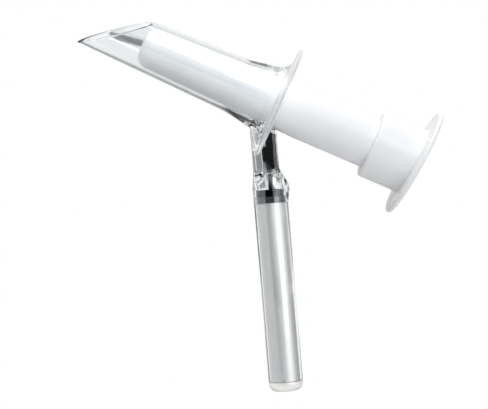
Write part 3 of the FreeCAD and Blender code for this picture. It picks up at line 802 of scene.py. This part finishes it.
    def mark_satin(self, mesh: bpy.types.Mesh) -> None:
        """Numbers the flange's faces for the satin finish: those past the satin radius, level with it.

        Args:
            mesh: The moulding in the row's frame in metres.
        """
        middles = np.empty(3 * len(mesh.polygons))
        mesh.polygons.foreach_get("center", middles)
        home = np.array((Matrix.Scale(MM, 4) @ LAYOUT.matrix(Datum.CANNULA)).inverted())
        station, across, up = home[:3, :3] @ middles.reshape(-1, 3).T + home[:3, 3:]
        level = np.abs(station) < self.flange_thickness
        clear_of_neck = (up > 0) | (np.abs(across) > self.neck_half_width)
        satin = level & clear_of_neck & (np.hypot(across, up) > self.satin_radius)
        mesh.polygons.foreach_set("material_index", satin.astype(np.int32))

    def build(self, workshop: Workshop) -> None:
        """Builds the moulding as one clear piece.

        Args:
            workshop: Where its finish comes from.
        """
        neck = build_up(
            "neck",
            self.neck().mesh("neck", Datum.GRIP),
            [(Cut.REMOVE, lathe(self.bore_space(), Datum.CANNULA).mesh("bore_space", Datum.CANNULA))],
        )
        steps = [
            (Cut.JOIN, neck),
            (Cut.REMOVE, self.lamp_space().mesh("lamp_space", Datum.GRIP)),
            (Cut.REMOVE, lathe(self.socket_space(), Datum.GRIP).mesh("socket_space", Datum.GRIP)),
        ]
        mesh = build_up("scope_moulding", self.shell().mesh("shell", Datum.CANNULA), steps)
        crisp_edges(mesh, CRISP_ANGLE)
        piece = add_piece("scope_moulding", mesh, "scope", ["scope_body"])
        piece.visible_shadow = False
        workshop.dress(piece, CLEAR_POLYSTYRENE, SATIN_POLYSTYRENE)
        self.mark_satin(mesh)


@dataclass
class Sleeve:
    """The clear tube of the grip."""

    grip: Grip
    mouth_round: float = 0.25

    def build(self, workshop: Workshop) -> None:
        """Builds the sleeve with softened ends.

        Args:
            workshop: Where its finish comes from.
        """
        grip = self.grip
        foot, top = -grip.sleeve_top, grip.sleeve_top
        lap, lap_top = grip.sleeve_bore + grip.lap_wall, top + grip.socket_lap - grip.lap_clearance
        ring = outline([
            (foot, grip.sleeve_bore, self.mouth_round),
            (foot, grip.sleeve_radius, self.mouth_round),
            (top, grip.sleeve_radius, 0.1),
            (top, lap),
            (lap_top, lap, 0.1),
            (lap_top, grip.sleeve_bore, 0.1),
        ], closed=True, steps=6)
        mesh = lathe(ring, Datum.GRIP, closed=True).mesh("grip_sleeve", Datum.GRIP)
        piece = add_piece("grip_sleeve", mesh, "scope", ["handle_sleeve"])
        piece.visible_shadow = False
        workshop.dress(piece, CLEAR_POLYSTYRENE)


@dataclass
class Obturator:
    """The white tube that fills the bore, with the thumb cap on its end."""

    scope: ScopeMoulding
    front: float = 67.2
    nose_round: float = 5.0
    nose_dome: float = 0.7
    wall: float = 1.5
    shank_radius: float = 11.6
    clearance: float = 0.25
    withdrawn: float = 39.466
    collar_start: float = 45.6
    collar_radius: float = 15.6
    collar_wall: float = 1.6
    collar_round: float = 1.2
    skirt_wall: float = 1.5
    skirt_grip: float = 0.05
    skirt_spare: float = 4.0
    plate_distance: float = 66.2
    plate_radius: float = 25.5
    plate_thickness: float = 2.2
    plate_rake: float = 5.0
    plate_recess: float = 0.7
    plate_lip: float = 3.0
    plate_bite: float = 1.1

    def taper_radius(self, station: float) -> float:
        """Gives the tapered length's radius: the bore it fills when home, less the clearance.

        Args:
            station: The place along the cannula, with the obturator withdrawn as in the photograph.

        Returns:
            The radius there.
        """
        scope = self.scope
        home = scope.tip_radius - scope.wall - self.clearance
        return home + scope.taper * (station - self.withdrawn + scope.reach)

    def tube(self, workshop: Workshop) -> None:
        """Builds the hollow tube with its tapered length and rounded nose as one turned piece.

        Args:
            workshop: Where its finish comes from.
        """
        front = -self.front
        shoulder = front + self.nose_dome
        shank_start = self.scope.guide_start + self.withdrawn
        end = self.plate_distance - self.collar_radius * math.sin(math.radians(self.plate_rake))
        inside = self.shank_radius - self.wall
        profile = outline([
            (front, 0),
            (shoulder, self.taper_radius(shoulder), self.nose_round),
            (shank_start, self.shank_radius),
            (end, self.shank_radius, 0.3),
            (end, inside, 0.3),
            (shank_start, inside),
            (shoulder + self.wall, self.taper_radius(shoulder + self.wall) - self.wall, self.nose_round - self.wall),
            (front + self.wall, 0),
        ])
        mesh = lathe(profile, Datum.CANNULA).mesh("obturator_tube", Datum.CANNULA)
        piece = add_piece("obturator_tube", mesh, "obturator", ["obturator_stem"])
        workshop.dress(piece, WHITE_POLYETHYLENE)

    def raked(self, mesh: bpy.types.Mesh) -> bpy.types.Mesh:
        """Leans a mesh, drawn about the cannula's axis, by the plate's rake about the plate's middle.

        Args:
            mesh: The mesh in the row's frame in metres, which is changed.

        Returns:
            The same mesh.
        """
        place = LAYOUT.matrix(Datum.CANNULA)
        there = Matrix.Translation((self.plate_distance, 0, 0))
        lean = Matrix.Rotation(math.radians(self.plate_rake), 4, "Y")
        move = place @ there @ lean @ there.inverted() @ place.inverted()
        scale = Matrix.Scale(1 / MM, 4)
        mesh.transform(scale.inverted() @ move @ scale)
        return mesh

    def cap(self, workshop: Workshop) -> None:
        """Builds the collar, the skirt and the leaning, dished thumb plate as one milky piece.

        The skirt is drawn longer than it is and trimmed inside the plate's thickness.

        Args:
            workshop: Where its finish comes from.
        """
        start = self.collar_start + self.collar_wall
        seat = self.shank_radius - self.skirt_grip
        near, far = self.plate_distance, self.plate_distance + self.plate_thickness
        inside = self.collar_radius - self.skirt_wall
        skirt = outline([
            (self.collar_start, seat, 0.2), (self.collar_start, self.collar_radius, self.collar_round),
            (far + self.skirt_spare, self.collar_radius), (far + self.skirt_spare, inside),
            (start, inside, 0.8), (start, seat, 0.2),
        ], closed=True)
        rim = 0.45 * self.plate_thickness
        dish = far - self.plate_recess
        plate = outline([
            (near, 0),
            (near, self.plate_radius, rim),
            (far, self.plate_radius, rim),
            (far, self.plate_radius - self.plate_lip, 0.5),
            (dish, self.plate_radius - self.plate_lip - self.plate_recess, 0.5),
            (dish, 0),
        ])
        cut, past, wide = near + self.plate_bite, far + 9.0, 2 * self.collar_radius
        beyond = outline([(cut, 0), (cut, wide), (past, wide), (past, 0)])
        trimmed = build_up(
            "skirt",
            lathe(skirt, Datum.CANNULA, closed=True).mesh("skirt", Datum.CANNULA),
            [(Cut.REMOVE, self.raked(lathe(beyond, Datum.CANNULA).mesh("beyond", Datum.CANNULA)))],
        )
        disc = self.raked(lathe(plate, Datum.CANNULA, around=192).mesh("plate", Datum.CANNULA))
        mesh = build_up("thumb_cap_moulding", disc, [(Cut.JOIN, trimmed)])
        crisp_edges(mesh, CRISP_ANGLE)
        piece = add_piece("thumb_cap_moulding", mesh, "obturator", ["thumb_cap"])
        workshop.dress(piece, NATURAL_POLYETHYLENE)

    def build(self, workshop: Workshop) -> None:
        """Builds the tube and the cap.

        Args:
            workshop: Where their finishes come from.
        """
        self.tube(workshop)
        self.cap(workshop)


@dataclass
class LampUnit:
    """The barrel, its bezel ring and its tail cap."""

    grip: Grip
    end_round: float = 0.12
    ring_bore: float = 4.9
    ring_spigot: float = 2.5
    ring_round: float = 0.3
    fit: float = 0.03
    cap_gap: float = 0.2
    cap_height: float = 4.3
    cap_round: float = 3.6
    plug_length: float = 9.0
    plug_wall: float = 1.1
    running: float = 0.05
    seal_depth: float = 0.6
    seal_width: float = 0.8
    seal_drop: float = 2.5

    def barrel(self, workshop: Workshop) -> None:
        """Builds the satin barrel, a thin tube with softened ends.

        Args:
            workshop: Where its finish comes from.
        """
        grip = self.grip
        foot, top, soft = -grip.sleeve_top, grip.barrel_top, self.end_round
        ring = outline([
            (foot, grip.barrel_bore, soft), (foot, grip.barrel_radius, soft),
            (top, grip.barrel_radius, soft), (top, grip.barrel_bore, soft),
        ], closed=True, steps=4)
        mesh = lathe(ring, Datum.GRIP, closed=True).mesh("barrel_tube", Datum.GRIP)
        workshop.dress(add_piece("barrel_tube", mesh, "lamp_unit", ["lamp_barrel"]), SATIN_ALUMINIUM)

    def ring(self, workshop: Workshop) -> None:
        """Builds the polished ring with rounded edges and the spigot that fits the barrel.

        Args:
            workshop: Where its finish comes from.
        """
        grip = self.grip
        top, foot = grip.ring_top, grip.barrel_top
        radius, spigot = grip.barrel_radius, grip.barrel_bore - self.fit
        ring = outline([
            (foot - self.ring_spigot, self.ring_bore), (foot - self.ring_spigot, spigot, 0.2), (foot, spigot),
            (foot, radius, self.ring_round), (top, radius, self.ring_round), (top, self.ring_bore, 0.2),
        ], closed=True, steps=6)
        mesh = lathe(ring, Datum.GRIP, closed=True).mesh("dark_ring", Datum.GRIP)
        workshop.dress(add_piece("dark_ring", mesh, "lamp_unit", ["bezel_ring"]), BLACK_CHROME)

    def tail(self, workshop: Workshop) -> None:
        """Builds the domed tail cap with its plug and seal groove.

        Args:
            workshop: Where its finish comes from.
        """
        grip = self.grip
        shoulder = -grip.sleeve_top - self.cap_gap
        plug = grip.barrel_bore - self.running
        cup = plug - self.plug_wall
        top = shoulder + self.plug_length
        seal = top - self.seal_drop
        floor = plug - self.seal_depth
        profile = outline([
            (shoulder - self.cap_height, 0),
            (shoulder - self.cap_height, grip.sleeve_radius, self.cap_round),
            (shoulder, grip.sleeve_radius, 0.2),
            (shoulder, plug),
            (seal - self.seal_width, plug), (seal - self.seal_width, floor), (seal, floor), (seal, plug),
            (top, plug, 0.2), (top, cup, 0.2),
            (shoulder, cup), (shoulder, 0),
        ], steps=12)
        mesh = lathe(profile, Datum.GRIP).mesh("domed_cap", Datum.GRIP)
        workshop.dress(add_piece("domed_cap", mesh, "cap", ["tail_cap"]), SATIN_ALUMINIUM)

    def build(self, workshop: Workshop) -> None:
        """Builds the three turned pieces.

        Args:
            workshop: Where their finishes come from.
        """
        self.barrel(workshop)
        self.ring(workshop)
        self.tail(workshop)


@dataclass
class Studio:
    """Camera, lamps, cards, world and floor, in millimetres, degrees and photograph pixels."""

    frame_width: int = 488
    frame_height: int = 409
    scale: float = 0.453
    distance: float = 700.0
    azimuth: float = -2.2
    roll: float = 4.76
    flange_x: float = 278.4
    flange_y: float = 103.6
    sensor: float = 36.0
    aim_height: float = 50.0
    fill_light: float = 0.37
    floor_level: float = -164.0
    floor_reach: float = 420.0

    def axes(self) -> tuple[Vector, Vector, Vector]:
        """Gives the camera's right, up and backward directions."""
        azimuth, roll = math.radians(self.azimuth), math.radians(self.roll)
        back = Vector((math.sin(azimuth), -math.cos(azimuth), 0))
        level = Vector((math.cos(azimuth), math.sin(azimuth), 0))
        rise = Vector((0, 0, 1))
        right = level * math.cos(roll) - rise * math.sin(roll)
        up = level * math.sin(roll) + rise * math.cos(roll)
        return right, up, back

    def camera(self) -> None:
        """Sets the camera so that the flange's middle falls on its place in the photograph."""
        right, up, back = self.axes()
        flange = LAYOUT.matrix(Datum.CANNULA).to_translation()
        across = (self.flange_x - self.frame_width / 2) * self.scale
        above = (self.frame_height / 2 - self.flange_y) * self.scale
        middle = flange - right * across - up * above
        lens = bpy.data.cameras.new("photo_camera")
        lens.sensor_width = self.sensor
        lens.lens = self.sensor * self.distance / (self.frame_width * self.scale)
        lens.clip_start, lens.clip_end = 0.01, 50.0
        camera = bpy.data.objects.new("photo_camera", lens)
        turn = Matrix((right, up, back)).transposed().to_4x4()
        camera.matrix_world = Matrix.Translation((middle + back * self.distance) * MM) @ turn
        bpy.context.scene.collection.objects.link(camera)
        bpy.context.scene.camera = camera

    def world(self) -> None:
        """Makes the white surround: full white where it is seen, plain light where it only lights."""
        world = bpy.data.worlds.new("white_surround")
        world.use_nodes = True
        tree = world.node_tree
        tree.nodes.clear()
        path = add_node(tree, "ShaderNodeLightPath", {})
        seen = path.outputs["Is Camera Ray"]
        for ray in ("Is Glossy Ray", "Is Transmission Ray"):
            seen = add_node(tree, "ShaderNodeMath", {0: seen, 1: path.outputs[ray]}, operation="MAXIMUM").outputs[0]
        strength = add_node(tree, "ShaderNodeMapRange", {"Value": seen, "To Min": self.fill_light, "To Max": 1.0})
        white = {"Color": srgb("#FFFFFF"), "Strength": strength.outputs["Result"]}
        light = add_node(tree, "ShaderNodeBackground", white)
        add_node(tree, "ShaderNodeOutputWorld", {"Surface": light.outputs["Background"]})
        bpy.context.scene.world = world

    def facing(self, place: Spot, front: str) -> Matrix:
        """Stands something at a place so that it faces the middle of the object.

        Args:
            place: Where it stands, in millimetres.
            front: The axis of its own that faces the object.

        Returns:
            Its turn and place, in metres.
        """
        spot = Vector(place) * MM
        aim = Vector((0, 0, self.aim_height)) * MM - spot
        return Matrix.Translation(spot) @ aim.to_track_quat(front, "Y").to_matrix().to_4x4()

    def lamp(self, name: str, place: Spot, size: float, power: float, body: bool = True, sheen: bool = True) -> None:
        """Adds a square soft lamp aimed at the middle of the object.

        Args:
            name: The lamp's name.
            place: Where it stands, in millimetres.
            size: Its side in millimetres.
            power: Its power in watts.
            body: Whether it lights matt faces.
            sheen: Whether it shows in polished faces and through the clear ones.
        """
        data = bpy.data.lights.new(name, "AREA")
        data.size = size * MM
        data.energy = power
        lamp = bpy.data.objects.new(name, data)
        lamp.matrix_world = self.facing(place, "-Z")
        lamp.visible_diffuse = body
        lamp.visible_glossy = lamp.visible_transmission = sheen
        bpy.context.scene.collection.objects.link(lamp)

    def card(self, name: str, place: Spot, size: tuple[float, float], tone: ColourHex) -> None:
        """Adds a studio card that shows only in reflections or through clear plastic.

        Args:
            name: The card's name.
            place: Its middle, in millimetres.
            size: Its width and height in millimetres.
            tone: Its felt's colour.
        """
        corners = np.array([(-1, -1), (1, -1), (1, 1), (-1, 1)]) * np.array(size) / 2
        points = np.insert(corners, 2, 0, axis=1) * MM
        mesh = bpy.data.meshes.new(name)
        mesh.from_pydata(points.tolist(), [], [[0, 1, 2, 3]])
        card = bpy.data.objects.new(name, mesh)
        card.matrix_world = self.facing(place, "Z")
        bpy.context.scene.collection.objects.link(card)
        card.visible_camera = False
        card.visible_diffuse = False
        card.visible_shadow = False
        felt = Finish(f"{name}_felt", tone, tone, roughness=0.9, grain=1.0, relief=0.0)
        mesh.materials.append(felt.material())

    def floor(self) -> None:
        """Lays a plain pale floor below the object."""
        angles = np.linspace(0, 2 * math.pi, AROUND, endpoint=False)
        ring = np.stack([np.cos(angles), np.sin(angles)], axis=1) * self.floor_reach
        points = np.insert(ring, 2, self.floor_level, axis=1) * MM
        mesh = bpy.data.meshes.new("floor")
        mesh.from_pydata(points.tolist(), [], [list(range(AROUND))])
        floor = bpy.data.objects.new("floor", mesh)
        bpy.context.scene.collection.objects.link(floor)
        floor.visible_transmission = False
        floor.visible_glossy = False
        paper = Finish("matt_white_paper", "#FBFBFB", "#F9F9F9", roughness=0.8, grain=1.5, relief=0.0)
        mesh.materials.append(paper.material())

    def build(self) -> None:
        """Sets up everything that isn't the object."""
        scene = bpy.context.scene
        scene.view_settings.view_transform = "Standard"
        self.camera()
        self.world()
        self.lamp("key_softbox", (260, -760, 850), 700, 5.4, sheen=False)
        self.lamp("top_softbox", (-100, 100, 1000), 700, 4.0)
        self.lamp("strip_softbox", (250, -870, 480), 300, 1.5)
        self.lamp("side_softbox", (600, -790, 120), 600, 2.2, body=False)
        self.card("front_strip", (150, -1500, 330), (3000, 980), "#0E0F10")
        self.card("right_strip", (1700, 300, 150), (1600, 460), "#0E0F10")
        self.card("low_back_card", (30, 960, -720), (1600, 560), "#141617")
        self.card("low_pale_card", (40, 1180, -270), (1500, 280), "#C4C6C7")
        self.card("left_back_card", (-560, 1180, 60), (420, 500), "#A2A4A5")
        self.card("neck_card", (3, 70, 67), (44, 42), "#A2A4A6")
        self.card("beak_card", (-90, 1180, 249), (50, 24), "#C0C2C3")
        self.floor()


def main() -> None:
    """Builds the studio and every sub-assembly, then gives the nodes that keep their own shape their finishes."""
    workshop = Workshop()
    grip = Grip()
    scope = ScopeMoulding(grip)
    Studio().build()
    scope.build(workshop)
    Sleeve(grip).build(workshop)
    Obturator(scope).build(workshop)
    LampUnit(grip).build(workshop)
    workshop.dress_nodes()


if __name__ == "__main__":
    main()
